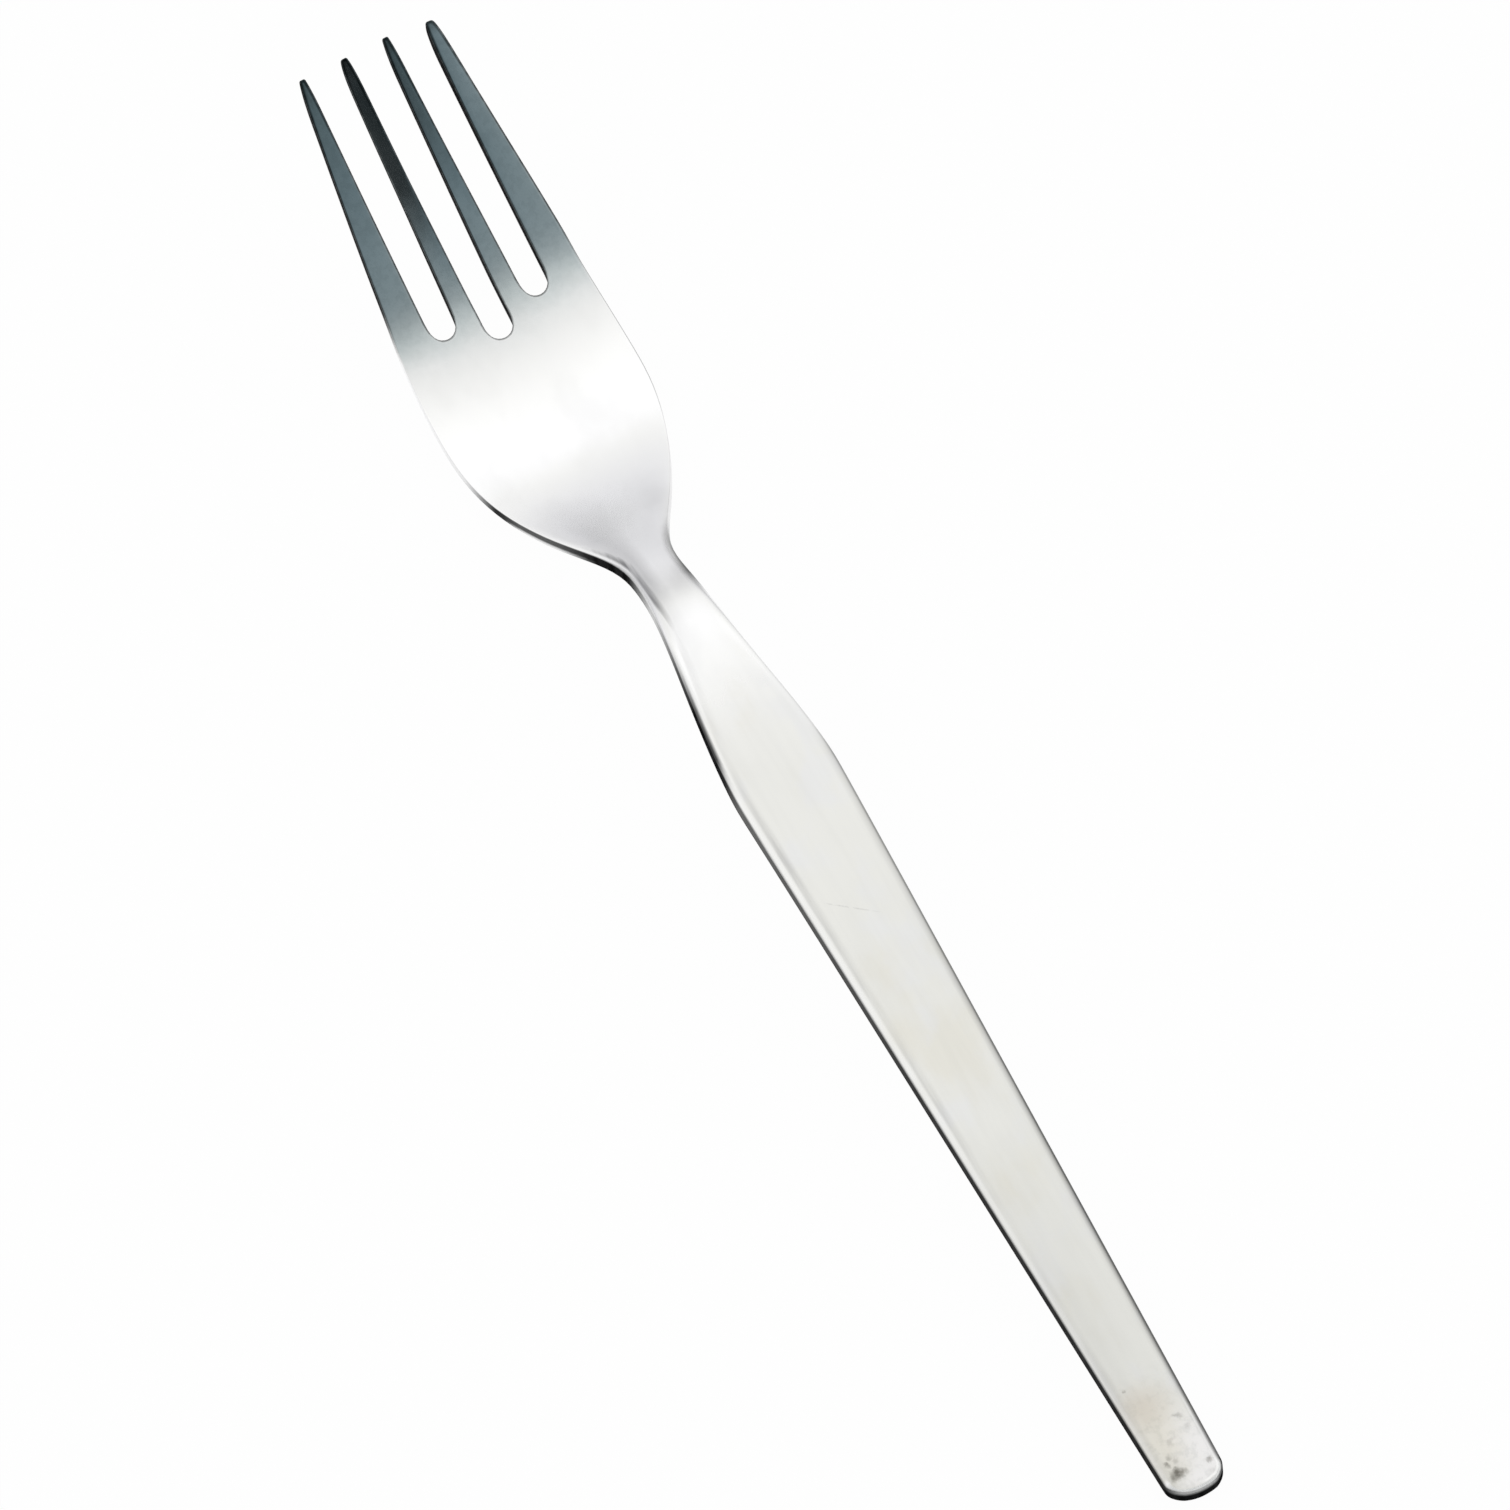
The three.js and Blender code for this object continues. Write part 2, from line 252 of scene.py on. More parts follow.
bpy.ops.object.select_all(action="DESELECT")
bpy.ops.mesh.primitive_grid_add(
    x_subdivisions=len(rows) - 1, y_subdivisions=len(columns) - 1, size=SHEET_SIDE)
fork = bpy.context.object
fork.name = fork.data.name = "fork"
bpy.ops.object.mode_set(mode="EDIT")


def on_grid(place):
    return (place.x + SHEET_SIDE / 2) / row_step, (place.y + SHEET_SIDE / 2) / column_step


# Punch the slots, then give the sheet its thickness.
bpy.ops.mesh.select_mode(type="FACE")
bpy.ops.mesh.select_all(action="DESELECT")
blank = bmesh.from_edit_mesh(fork.data)
for face in blank.faces:
    row, column = on_grid(face.calc_center_median())
    for (first, last), first_row, centre in slots:
        if row > first_row and first < column < last:
            face.select_set(True)
bmesh.update_edit_mesh(fork.data)
bpy.ops.mesh.delete(type="FACE")
bpy.ops.mesh.select_all(action="SELECT")
bpy.ops.mesh.extrude_region_move(TRANSFORM_OT_translate={"value": (0, 0, SHEET_THICKNESS)})
bpy.ops.mesh.select_all(action="SELECT")
bpy.ops.mesh.normals_make_consistent(inside=False)

bpy.ops.mesh.select_mode(type="VERT")
blank = bmesh.from_edit_mesh(fork.data)
spots = {}
for point in blank.verts:
    row, column = on_grid(point.co)
    spots[round(row), round(column), point.co.z > SHEET_THICKNESS / 2] = point.index


def pick(some_rows, some_columns, faces=(False, True)):
    bpy.ops.mesh.select_all(action="DESELECT")
    blank = bmesh.from_edit_mesh(fork.data)
    blank.verts.ensure_lookup_table()
    for spot in ((r, c, f) for r in some_rows for c in some_columns for f in faces):
        if spot in spots:
            blank.verts[spots[spot]].select_set(True)
    bmesh.update_edit_mesh(fork.data)


# Draw the columns to their spacing and the rows of the body to their outline, and press
# each row to its thickness and height.
for number, share in enumerate(columns):
    pick(range(len(rows)), [number])
    bpy.ops.transform.translate(value=(0, (share + 1) * SHEET_SIDE / 2 - number * column_step, 0))


def press(number, x, low, high, first, last, trim):
    wide = (columns[last] - columns[first]) * SHEET_SIDE / 2
    middle = (columns[last] + columns[first]) * SHEET_SIDE / 4
    pick([number], range(first, last + 1))
    bpy.ops.transform.resize(
        value=(1, (high - low) / wide, (thickness(x) - trim) / SHEET_THICKNESS),
        center_override=(0, middle, 0))
    bpy.ops.transform.translate(
        value=(x - number * row_step, (low + high) / 2 - middle, underside(x) + trim))


for number, x in enumerate(rows[:middle_row + 1]):
    reach = reach_at(END_ROWS.get(x, x))
    press(number, x, -reach, reach, 0, len(columns) - 1, 0)

# Bow the handle end: its first rows trail back towards their sides, less at the fuller right
# corner, and the end is ground a little askew.
for number, (x, side_x) in enumerate(END_ROWS.items()):
    for column, share in enumerate(columns):
        askew = END_SKEW * (share * reach_at(side_x) + END_SKEW_PIVOT) * (1 - x / END_ROUND)
        corner = RIGHT_CORNER_ROUND if share < 0 else 1
        back = (side_x - x) * share * share * corner + askew
        pick([number], [column])
        bpy.ops.transform.translate(value=(back, 0, underside(x + back) - underside(x)))

# Past the slot roots each tine is pressed by itself, down to its blunt point. The edges
# were finished by hand, so each tine has its own length, its own point, and its own small
# shifts of the right and left edge, given at the slot root and at the tip.
TINE_SHORTER = {"tine_1": 0.0002, "tine_2": 0.0001, "tine_3": 0, "tine_4": 0.00035}
TINE_SHIFT = {
    "tine_1": ((0, 0), (-0.00014, -0.0001)),
    "tine_2": ((0.00004, -0.00022), (-0.00003, 0.00001)),
    "tine_3": ((-0.00004, -0.00005), (0.00008, -0.00009)),
    "tine_4": ((-0.00013, -0.0002), (0, 0.00006))}
SHIFT_BLEND = 0.003
POINT_FULLNESS = {"tine_1": 1, "tine_2": 1, "tine_3": 1, "tine_4": 0.65}


def press_tine(number, name, first, last):
    x = rows[number]
    here = x - max(x - outer_centre, 0) * TINE_SHORTER[name] / (tip - outer_centre)
    if name in ("tine_1", "tine_4"):
        inner, outer = slot_pitch(here) + slot_half(here), half_width(here)
    else:
        inner, outer = slot_half(here), slot_pitch(here) - slot_half(here)
    side_of = -1 if first < middle_column else 1
    low, high = sorted((side_of * inner, side_of * outer))
    grown = part_way(here, outer_centre, outer_centre + SHIFT_BLEND)
    low_shift, high_shift = (along_slot(here, *ends) * grown for ends in TINE_SHIFT[name])
    low, high = low + low_shift, high + high_shift
    swell = math.sqrt(1 - (1 - part_way(x, tip, point_start)) ** 2)
    wide = mix(POINT_NOSE_WIDTH, high - low, swell ** POINT_FULLNESS[name])
    trim = (thickness(here) - POINT_NOSE_THICKNESS) * (1 - swell)
    middle = (low + high) / 2
    press(number, here, middle - wide / 2, middle + wide / 2, first, last, trim)


for number in range(middle_row + 1, len(rows)):
    for name, (first, last) in tines.items():
        press_tine(number, name, first, last)
    if number > outer_row:
        continue
    x = rows[number]
    for (first, last), side_of in ((outer_slot_4, -1), (outer_slot_1, 1)):
        share = (columns[last - 1] - columns[first + 1]) / (columns[last] - columns[first])
        middle, reach = side_of * slot_pitch(x), slot_half(x) * share
        press(number, x, middle - reach, middle + reach, first + 1, last - 1, 0)

# Round each slot root: its row is pushed back to a half circle, and the rows behind it
# follow less and less.
for (first, last), first_row, centre in slots:
    for number, x in enumerate(rows[:first_row + 1]):
        fade = part_way(x, rows[first_row] - ROOT_BLEND, rows[first_row]) ** 2
        for column in range(first + 1, last):
            off = (columns[column] * side - centre) / half
            back = half * math.sqrt(max(1 - off * off, 0)) * fade
            if back > TINY:
                pick([number], [column])
                bpy.ops.transform.translate(value=(-back, 0, underside(x - back) - underside(x)))

# Crown the neck on its face only, and dish the bowl through the sheet.
CROWN_POWER = 4
DISH_POWER = 2
for number, x in enumerate(rows[:middle_row + 1]):
    lift = camber(x)
    if abs(lift) < TINY:
        continue
    faces, power = ((True,), CROWN_POWER) if lift < 0 else ((False, True), DISH_POWER)
    for column, share in enumerate(columns):
        if share:
            pick([number], [column], faces)
            bpy.ops.transform.translate(value=(0, 0, lift * abs(share) ** power))

# The neck leans a hair to the right, and its waist to the left.
for number, x in enumerate(rows[:middle_row + 1]):
    if abs(lean(x)) > TINY:
        pick([number], range(len(columns)))
        bpy.ops.transform.translate(value=(0, lean(x), 0))

# Wear the upper edges down, most along the handle.
WORN_SIDE = 0.3
for number, x in enumerate(rows[:middle_row + 1]):
    radius = upper_edge(x)
    fade = part_way(x, outer_root, lowest) * part_way(x, 0, END_ROUND)
    for column, share in enumerate(columns):
        depth = (1 - abs(share)) * reach_at(END_ROWS.get(x, x))
        worn = draw_in(radius, max(depth, radius / 4)) * fade
        if worn > TINY and 1 - abs(share) < WORN_SIDE:
            pick([number], [column], (True,))
            bpy.ops.transform.translate(value=(0, 0, -worn))

# The tines are set by hand, so each is turned a few degrees about its own line. The turn
# grows between two distances before the tip.
TINE_TURN = {
    "tine_1": (-1, 0.0265, 0.009),
    "tine_2": (8, 0.0245, 0.009),
    "tine_3": (3.3, 0.0195, 0.006),
    "tine_4": (-3.4, 0.0205, 0.003)}
for number in range(outer_row + 1, len(rows)):
    for name, (first, last) in tines.items():
        degrees, start, end = TINE_TURN[name]
        t = part_way(rows[number], tip - start, tip - end)
        if t == 0:
            continue
        pick([number], range(first, last + 1))
        chosen = [point.co for point in bmesh.from_edit_mesh(fork.data).verts if point.select]
        middle = sum(chosen, Vector()) / len(chosen)
        turn = math.radians(degrees) * t * t * (3 - 2 * t)
        bpy.ops.transform.rotate(value=turn, orient_axis="X", center_override=middle)

# Mark the upper face 1 and the underside 0, so that the sheared edge lies between them.
blank = bmesh.from_edit_mesh(fork.data)
blank.verts.ensure_lookup_table()
rise_of = blank.verts.layers.float.new("rise")
for (row, column, upper), number in spots.items():
    blank.verts[number][rise_of] = 1 if upper else 0
bmesh.update_edit_mesh(fork.data)

# Tumble the edges round, less at the fine points, and smooth the steel.
SHARP_ANGLE = 35
WORN_ALREADY = 0.55
bpy.ops.mesh.select_mode(type="EDGE")
bpy.ops.mesh.select_all(action="DESELECT")
bpy.ops.mesh.edges_select_sharp(sharpness=math.radians(SHARP_ANGLE))
blank = bmesh.from_edit_mesh(fork.data)
weight = blank.edges.layers.float.new("bevel_weight_edge")
rise_of = blank.verts.layers.float["rise"]
for edge in blank.edges:
    if edge.select:
        one, other = edge.verts
        x = (one.co.x + other.co.x) / 2 + tip / 2
        radius = upper_edge(x) * (1 - WORN_ALREADY * part_way(x, outer_root, lowest))
        radius = mix(END_EDGE, radius, part_way(x, 0, END_ROUND))
        if one[rise_of] + other[rise_of] < 1:
            radius = LOWER_EDGE
        edge[weight] = radius / HANDLE_EDGE
bmesh.update_edit_mesh(fork.data)
bpy.ops.object.mode_set(mode="OBJECT")
tumble = fork.modifiers.new("tumble", "BEVEL")
tumble.limit_method = "WEIGHT"
tumble.width = HANDLE_EDGE
tumble.segments = 4
tumble.use_clamp_overlap = False
bpy.ops.object.modifier_apply(modifier="tumble")
smooth = fork.modifiers.new("smooth", "SUBSURF")
smooth.levels = smooth.render_levels = 1
bpy.ops.object.modifier_apply(modifier="smooth")
bpy.ops.object.shade_smooth()
flatten = fork.modifiers.new("flatten", "WEIGHTED_NORMAL")
flatten.mode = "FACE_AREA"
bpy.ops.object.modifier_apply(modifier="flatten")

# The sheared edge is painted dark, partly as the dull punched steel and partly as painted shade and
# dark reflection, and it is painted lighter where the fork is held and round the polished rim of the bowl.
# The rounding above it is painted bright as a highlight, and painted lines and patches of shade lie
# inside the edges and on the neck's face. Each side has its own amounts, graded by distance from the end.
LEFT_DARK = (
    (0, 0.98), (0.05, 0.95), (0.08, 0.83), (0.086, 0.82), (0.09, 1), (0.0985, 1), (0.1035, 0.88),
    (0.111, 0.4), (0.1165, 1), (0.122, 1), (0.126, 0.86), (0.131, 0.86), (0.134, 1), (0.1365, 0.6),
    (0.1395, 0.1), (0.1525, 0))
RIGHT_DARK = (
    (0.035, 0.78), (0.08, 0.5), (0.087, 0.47), (0.091, 0.06), (0.1095, 0.06), (0.1135, 0.8),
    (0.1165, 0.75), (0.1195, 0.5), (0.122, 0.08), (0.1345, 0), (0.1405, 0.5), (0.1525, 0.6))
LEFT_LIFTED_BELOW = ((0.122, 0), (0.126, 0.8), (0.13, 0.8), (0.133, 0))
LEFT_CREEP = ((0.087, 0), (0.0895, 0.3), (0.092, 0.95), (0.0985, 0.85), (0.1035, 0.35), (0.107, 0))
LEFT_RUBBED_HIGHLIGHT = (
    (0, 0.25), (0.04, 0.3), (0.06, 0.5), (0.08, 0.45), (0.1, 0.8), (0.112, 1), (0.124, 1), (0.136, 0.2),
    (0.15, 0))
RIGHT_RUBBED_HIGHLIGHT = ((0.087, 0), (0.094, 0.5), (0.103, 1), (0.109, 1), (0.113, 0.5), (0.118, 0.6), (0.122, 0))
LEFT_SHADE_LINE = (
    (0.002, 0.1), (0.01, 0.25), (0.032, 0.06), (0.046, 0.24), (0.06, 0.16), (0.08, 0.38), (0.0905, 0.1),
    (0.107, 0.12), (0.109, 0.36), (0.111, 0.75), (0.113, 0.92), (0.116, 0.9), (0.118, 1), (0.12, 0.8),
    (0.122, 0.35), (0.125, 0))
RIGHT_SHADE_LINE = ((0.111, 0), (0.113, 0.25), (0.117, 0))
LEFT_SHADE_LINE_INSET = (
    (0.02, 0.0005), (0.045, 0.0009), (0.08, 0.0009), (0.108, 0.0012), (0.111, 0.0008), (0.116, 0.0006),
    (0.119, 0.0005))
RIGHT_SHADE_LINE_INSET = 0.0003
LEFT_SHADE = (
    (0.1045, 0), (0.1075, 0.14), (0.1105, 0.17), (0.1155, 0.48), (0.119, 0.4), (0.1225, 0.28),
    (0.1285, 0.1), (0.132, 0))
OUTLINED = ((0.1465, 0), (0.148, 0.6), (0.1535, 0.75), (0.158, 0.85), (tip, 0.95))

# The dark starts and is full where the steel turns away from the face by so many degrees.
LEFT_START = ((0.06, 40), (0.08, 44), (0.0885, 20), (0.0985, 20), (0.111, 40), (0.116, 34), (0.123, 42))
RIGHT_START = ((0.1095, 6), (0.1135, 8), (0.1165, 17), (0.12, 10), (0.124, 6))
LEFT_BAND = 26
RIGHT_BAND = 32
END_START, END_FULL = 50, 76
SLOT_START, SLOT_FULL = 8, 26
BACK_START, BACK_FULL = 30, 70
RIM_START, RIM_END = 35, 80
RUBBED_HIGHLIGHT_START, RUBBED_HIGHLIGHT_FULL = 6, 16
SLOT_DARK = 0.96
SLOT_DARK_LENGTH = 0.005
ROOT_MARGIN = 0.003
ROOT_FROM_SIDE = 0.0012
CREEP_START, CREEP_FULL = 0.0006, 0.0003
LIFTED_START, LIFTED_FULL = 0.35, 0.15
SHADE_ACROSS = (0.045, 0.495)
SHADE_FROM_SIDE = (0.0003, 0.0007)


def graded(x, steps):
    for (x0, v0), (x1, v1) in zip(steps, steps[1:]):
        if x <= x1:
            return mix(v0, v1, max(x - x0, 0) / (x1 - x0))
    return steps[-1][1]


def lie_of(vertex):
    x = min(max(vertex.co.x + tip / 2, 0), tip)
    face = Vector((-slope(x), 0, 1)).normalized()
    along = vertex.normal.dot(face)
    return x, math.degrees(math.acos(min(abs(along), 1))), along > 0


MARKS = ("sheared_and_shaded", "rubbed", "inset", "outlined", "shade_line", "past_shade_line", "shade")
for name in MARKS:
    fork.data.attributes.new(name, "FLOAT", "POINT")
marks = {name: fork.data.attributes[name].data for name in (*MARKS, "rise")}
rim = KDTree(len(fork.data.vertices))
for vertex in fork.data.vertices:
    x, turned, upper = lie_of(vertex)
    if upper and RIM_START < turned < RIM_END:
        rim.insert(vertex.co, vertex.index)
rim.balance()
for vertex in fork.data.vertices:
    number, place = vertex.index, vertex.co
    x, turned, upper = lie_of(vertex)
    left = place.y > 0
    from_side = half_width(x) - abs(place.y)
    at_end = 1 - part_way(x, 0, END_ROUND)
    slotted = part_way(x, outer_root, outer_root + SLOT_DARK_LENGTH)
    if x > middle_root - ROOT_MARGIN and from_side > ROOT_FROM_SIDE:
        slotted = 1
    amount = graded(x, LEFT_DARK if left else RIGHT_DARK) if at_end == 0 else 1
    start = graded(x, LEFT_START if left else RIGHT_START)
    full = start + (LEFT_BAND if left else RIGHT_BAND)
    amount = mix(amount, SLOT_DARK, slotted)
    start = mix(mix(start, END_START, at_end), SLOT_START, slotted)
    full = mix(mix(full, END_FULL, at_end), SLOT_FULL, slotted)
    if not upper:
        start, full = BACK_START, BACK_FULL
    dark = amount * part_way(turned, start, full)
    if left and upper:
        dark = max(dark, graded(x, LEFT_CREEP) * part_way(from_side, CREEP_START, CREEP_FULL))
    if left:
        low = part_way(marks["rise"][number].value, LIFTED_START, LIFTED_FULL)
        dark *= 1 - low * graded(x, LEFT_LIFTED_BELOW)
    # Painted highlight on the rounding above the edge, graded along each side; at the end it also marks
    # rougher, worn steel.
    rubbed_highlight = graded(x, LEFT_RUBBED_HIGHLIGHT if left else RIGHT_RUBBED_HIGHLIGHT) if x > END_ROUND else 1
    shade_line_inset = graded(x, LEFT_SHADE_LINE_INSET) if left else RIGHT_SHADE_LINE_INSET
    shaded = part_way(place.y / half_width(x), *SHADE_ACROSS) * part_way(from_side, *SHADE_FROM_SIDE)
    marks["sheared_and_shaded"][number].value = dark
    marks["rubbed"][number].value = rubbed_highlight * part_way(turned, RUBBED_HIGHLIGHT_START, RUBBED_HIGHLIGHT_FULL) * upper
    marks["inset"][number].value = rim.find(place)[2] if upper and turned < RIM_START else 0
    marks["outlined"][number].value = graded(x, OUTLINED) * slotted * upper
    marks["shade_line"][number].value = graded(x, LEFT_SHADE_LINE if left else RIGHT_SHADE_LINE) * upper
    marks["past_shade_line"][number].value = from_side - shade_line_inset
    marks["shade"][number].value = graded(x, LEFT_SHADE) * shaded * upper

# The steel is polished on the head and satin on the handle, which has grown warm and cool
# patches in use. Fine drawn lines run along it, and the tines are scuffed.
HEAD_TONE = (0.92, 0.92, 0.925, 1)
HANDLE_TONE = (0.772, 0.77, 0.745, 1)
WARM_PATCH = (0.76, 0.74, 0.67, 1)
COOL_PATCH = (0.76, 0.765, 0.785, 1)
CLOUD_TONE = (0.55, 0.55, 0.55, 1)
LINE_TONE = (0.5, 0.5, 0.5, 1)
SCUFF_TONE = (0.68, 0.7, 0.7, 1)
BLUED_TONE = (0.95, 0.98, 1, 1)
NECK_SHADE_TONE = (0.2, 0.2, 0.2, 1)
SOIL_TONE = (0.55, 0.55, 0.53, 1)
STAIN_TONE = (0.56, 0.49, 0.41, 1)
IVORY_TONE = (0.74, 0.70, 0.62, 1)
PALE_PATCH_TONE = (0.86, 0.85, 0.865, 1)
SPECK_TONE = (0.17, 0.155, 0.13, 1)
DARK_TIP_TONE = (0.25, 0.22, 0.19, 1)
SHEARED_SHADE_TONE = (0.006, 0.006, 0.0065, 1)
SHEARED_SHADE_STREAK = (0.022, 0.022, 0.023, 1)
RIM_HIGHLIGHT_TONE = (0.96, 0.96, 0.96, 1)
SHADE_AND_SCRATCH_TONE = (0.27, 0.27, 0.275, 1)
EDGE_LINE_SHADE_TONE = (0.08, 0.09, 0.092, 1)
WARM_SHARE = 0.6
COOL_SHARE = 0.5
CLOUD_SHARE = 0.07
LINE_SHARE = 0.03
SCUFF_SHARE = 0.25
BLUED_SHARE = 0.8
HEAD_LINES = 0.3
HEAD_ZONE = (-0.003, 0.021)
TINE_ZONE = (0.058, 0.070)
NECK_SHADE_START = (0.0192, 0.0224)
NECK_SHADE_END = (0.0262, 0.0232)
NECK_SHADE_SHARES = (0.12, 0.22)
SOIL_ZONE = (-0.04, -0.07)
SOIL_ACROSS = (-0.003, 0.003)
SOIL_SHARES = (0.12, 0.24)
HANDLE_ROUGH = 0.32
HEAD_ROUGH = 0.2
PATCH_ROUGH = (-0.03, 0.05)
LINE_ROUGH = (-0.01, 0.015)
TINE_ROUGH = -0.08
SPECK_ROUGH = 0.3
SHEARED_ROUGH = 0.25
END_ROUGH = 0.45
LINE_HEIGHT = 0.1
WAVE_HEIGHT = 0.5
BUMP_STRENGTH = 0.2
BUMP_HEIGHT = 0.00002

steel = bpy.data.materials.new("worn_satin_steel")
steel.use_nodes = True
nodes, links = steel.node_tree.nodes, steel.node_tree.links
nodes.clear()


def add(kind, *values, **settings):
    made = nodes.new("ShaderNode" + kind)
    for name, value in settings.items():
        setattr(made, name, value)
    for socket, value in zip(made.inputs, values):
        if isinstance(value, bpy.types.NodeSocket):
            links.new(value, socket)
        elif value is not None:
            socket.default_value = value
    return made


def sums(operation, *values):
    return add("Math", *values, operation=operation).outputs[0]


def times(first, *others):
    for other in others:
        first = sums("MULTIPLY", first, other)
    return first


def plus(first, *others):
    for other in others:
        first = sums("ADD", first, other)
    return first


def ramp(value, low, high, bottom=0.0, top=1.0):
    return add("MapRange", value, low, high, bottom, top, interpolation_type="SMOOTHSTEP").outputs[0]


def noise(vector, scale, detail, rough=0.5):
    return add("TexNoise", vector, None, scale, detail, rough).outputs[0]


def blend(factor, first, second, blend_type="MIX"):
    made = nodes.new("ShaderNodeMix")
    made.data_type = "RGBA"
    made.blend_type = blend_type
    for socket, value in ((made.inputs[0], factor), (made.inputs[6], first), (made.inputs[7], second)):
        if isinstance(value, bpy.types.NodeSocket):
            links.new(value, socket)
        else:
            socket.default_value = value
    return made.outputs[2]


def attribute(name):
    return add("Attribute", attribute_name=name, attribute_type="GEOMETRY").outputs["Fac"]


spot = add("TexCoord").outputs["Object"]
x_at, y_at = add("SeparateXYZ", spot).outputs[:2]
sheared_and_shaded, rubbed, inset, outlined, shade_line, past_shade_line, shade, rise = map(attribute, (*MARKS, "rise"))


def stretched(scale, turn=0.0, place=(0, 0, 0)):
    return add("Mapping", spot, place, (0, 0, turn), scale).outputs[0]


head = ramp(x_at, *HEAD_ZONE)
off_head = sums("SUBTRACT", 1.0, head)
tines_only = ramp(x_at, *TINE_ZONE)
drawn = ramp(head, 0, 1, 1, HEAD_LINES)
patches = noise(stretched((1, 1.6, 1)), scale=70, detail=4, rough=0.55)
clouds = noise(stretched((1, 1.4, 1), 0.5, (0.3, 0.1, 0)), scale=160, detail=3)
lines = noise(stretched((25, 1100, 1100)), scale=1, detail=3, rough=0.6)
scuffs = noise(stretched((1, 1, 1), 0, (0.2, 0.7, 0)), scale=1200, detail=3, rough=0.6)
tone = blend(head, HANDLE_TONE, HEAD_TONE)
tone = blend(times(ramp(patches, 0.5, 0.68, 0, WARM_SHARE), off_head), tone, WARM_PATCH)
tone = blend(times(ramp(clouds, 0.5, 0.7, 0, COOL_SHARE), off_head), tone, COOL_PATCH)
tone = blend(times(ramp(clouds, 0.45, 0.7, 0, CLOUD_SHARE), head), tone, CLOUD_TONE, "MULTIPLY")
tone = blend(times(ramp(lines, 0.35, 0.7, 0, LINE_SHARE), drawn), tone, LINE_TONE, "MULTIPLY")
tone = blend(times(ramp(scuffs, 0.42, 0.62, 0, SCUFF_SHARE), tines_only), tone, SCUFF_TONE, "MULTIPLY")
tone = blend(times(ramp(patches, 0.42, 0.58, 0, BLUED_SHARE), tines_only), tone, BLUED_TONE, "MULTIPLY")
# A painted band of shade across the neck.
neck_shade = times(ramp(x_at, *NECK_SHADE_START), ramp(x_at, *NECK_SHADE_END))
tone = blend(times(neck_shade, ramp(clouds, 0.35, 0.65, *NECK_SHADE_SHARES)), tone, NECK_SHADE_TONE, "MULTIPLY")
soil = times(ramp(x_at, *SOIL_ZONE), ramp(y_at, *SOIL_ACROSS, *SOIL_SHARES))
tone = blend(soil, tone, SOIL_TONE, "MULTIPLY")

# Handling marks: a brown stain, an ivory patch, pale patches and dark specks near the end, darker
# tine tips and a scratch. A painted patch of shade lies on the bowl beside the neck. A fine noise makes
# their outlines ragged.
SMEAR = 0.0014
smear = add("TexNoise", spot, None, 900, 3, 0.6).outputs["Color"]
smear = add("VectorMath", smear, (0.5, 0.5, 0.5), operation="SUBTRACT").outputs[0]
smear = add("VectorMath", smear, operation="SCALE")
smear.inputs["Scale"].default_value = SMEAR
smeared = add("VectorMath", spot, smear.outputs[0], operation="ADD").outputs[0]


def mark(place, size, turn=0.0, where=smeared):
    angles = (0, 0, math.radians(turn))
    there = add("Mapping", where, (*place, 0), angles, (*size, 1), vector_type="TEXTURE").outputs[0]
    far = add("VectorMath", there, operation="LENGTH").outputs["Value"]
    return ramp(far, 1.15, 0.05)


for place, size, strength, colour in (
    ((-0.08405, 0.0009), (0.0069, 0.0043), 0.6, IVORY_TONE),
    ((-0.08015, 0.0012), (0.0030, 0.0038), 0.4, STAIN_TONE),
    ((-0.0868, -0.0021), (0.0060, 0.0033), 0.75, PALE_PATCH_TONE),
    ((-0.0891, -0.0002), (0.0014, 0.0030), 0.6, PALE_PATCH_TONE),
    # a painted patch of shade on the bowl beside the neck
    ((0.0345, -0.0050), (0.0045, 0.0022), 0.1, SHADE_AND_SCRATCH_TONE),
    ((0.0893, 0.0078), (0.0019, 0.0008), 0.45, DARK_TIP_TONE),
    ((0.0894, 0.0026), (0.0018, 0.0008), 0.45, DARK_TIP_TONE),
    ((0.0897, -0.0025), (0.0013, 0.0008), 0.45, DARK_TIP_TONE),
    ((0.0898, -0.0077), (0.0013, 0.0009), 0.4, DARK_TIP_TONE)):
    tone = blend(times(mark(place, size), strength), tone, colour)
specks = None
for place, size, turn, depth in (
    ((-0.08785, 0.0014), (0.00072, 0.0008), 0, 0.84),
    ((-0.0879, 0.0020), (0.00062, 0.0006), 0, 0.6),
    ((-0.08790, 0.0008), (0.00045, 0.00055), 0, 0.42),
    ((-0.0874, 0.0013), (0.0005, 0.0005), 0, 0.5),
    ((-0.08666, 0.00203), (0.00055, 0.00034), 30, 0.55),
    ((-0.08593, 0.00153), (0.0005, 0.0005), 0, 0.3),
    ((-0.08644, 0.00085), (0.0006, 0.0004), -30, 0.24),
    ((-0.08801, -0.00204), (0.00034, 0.00062), -25, 0.5),
    ((-0.0892, -0.00176), (0.0004, 0.0007), 0, 0.16),
    ((-0.08258, -0.00148), (0.0003, 0.0007), -25, 0.28),
    ((-0.08475, 0.00036), (0.0009, 0.0003), -55, 0.2),
    ((-0.08405, -0.00182), (0.0004, 0.0003), 0, 0.14),
    ((-0.07785, 0.0020), (0.0003, 0.0003), 0, 0.35)):
    one = times(mark(place, size, turn), depth)
    specks = one if specks is None else sums("MAXIMUM", specks, one)
specks = times(specks, rise)
tone = blend(specks, tone, SPECK_TONE)
scratch = times(mark((-0.01935, 0.00133), (0.0042, 0.00011), 51.7, spot), ramp(scuffs, 0.4, 0.6), 0.3)
tone = blend(scratch, tone, SHADE_AND_SCRATCH_TONE)
worn = times(ramp(x_at, -0.074, -0.084), ramp(scuffs, 0.45, 0.68, 0, 0.28))
tone = blend(worn, tone, SCUFF_TONE, "MULTIPLY")

